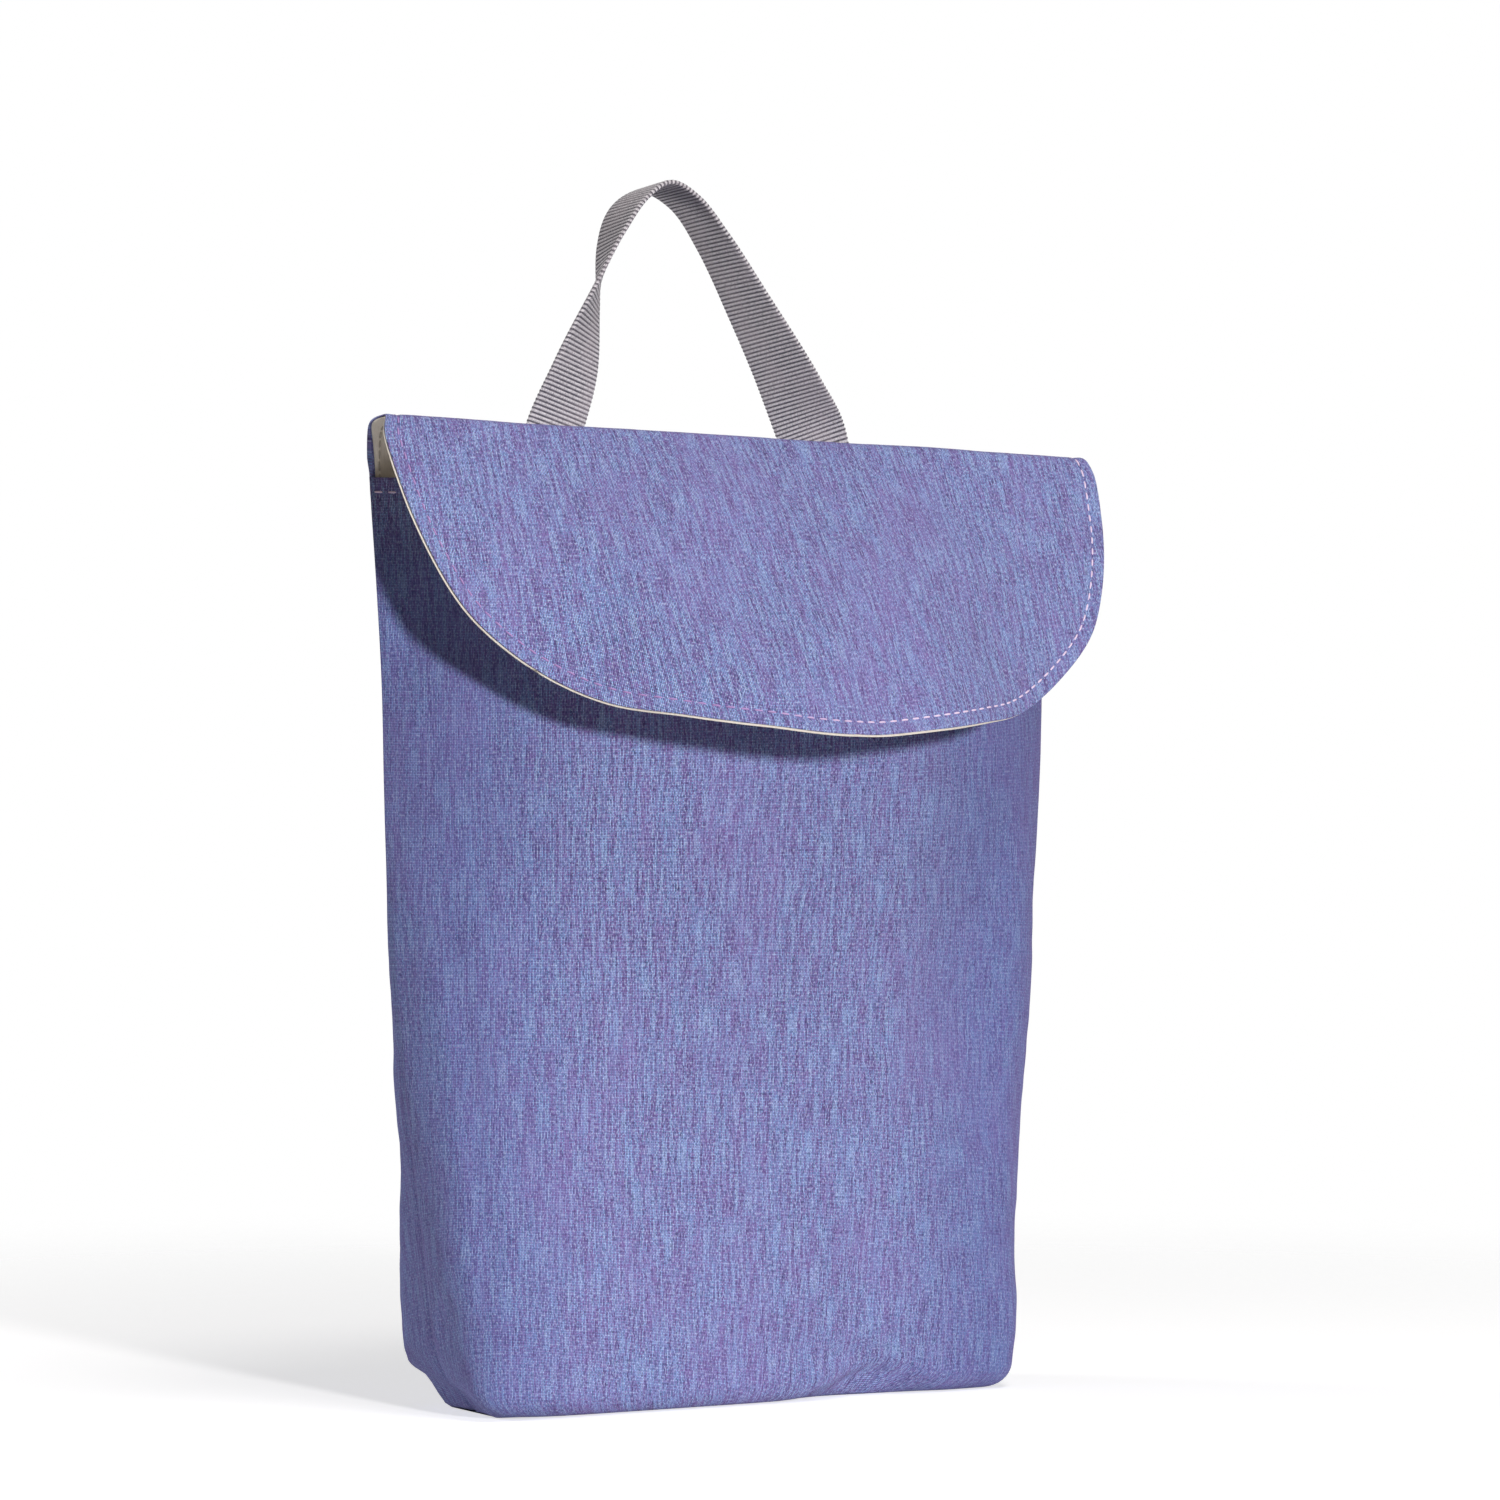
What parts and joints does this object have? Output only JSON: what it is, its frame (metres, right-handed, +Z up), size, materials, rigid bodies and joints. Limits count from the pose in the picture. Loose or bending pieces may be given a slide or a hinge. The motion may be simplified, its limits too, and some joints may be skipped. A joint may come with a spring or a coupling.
{
  "type": "diaper organizer bag",
  "caption": "Soft upright organizer pouch with a boxed flat base, a wide rounded fold-over flap, a pale lining and a twisted webbing loop handle at the back of the fold.",
  "frame": {"origin": "centre of the underside of the flat base, on the surface that the bag stands on", "axes": "+Z up from the base to the fold and the handle, -Y out of the front, over which the flap hangs, +X to the right seen from the front"},
  "size_m": [0.23, 0.1058, 0.3443],
  "materials": {
    "melange_cloth": "matte melange plain weave, periwinkle blue with violet and pale blue flecks",
    "cream_lining": "matte smooth cream lining cloth",
    "grey_webbing": "matte ribbed grey webbing"
  },
  "bodies": {
    "root": {"front_panel": "melange_cloth", "back_panel_flap": "melange_cloth", "base_panel": "melange_cloth", "front_lining": "cream_lining", "back_lining_flap": "cream_lining", "base_lining": "cream_lining", "handle": "grey_webbing"}
  },
  "joints": []
}
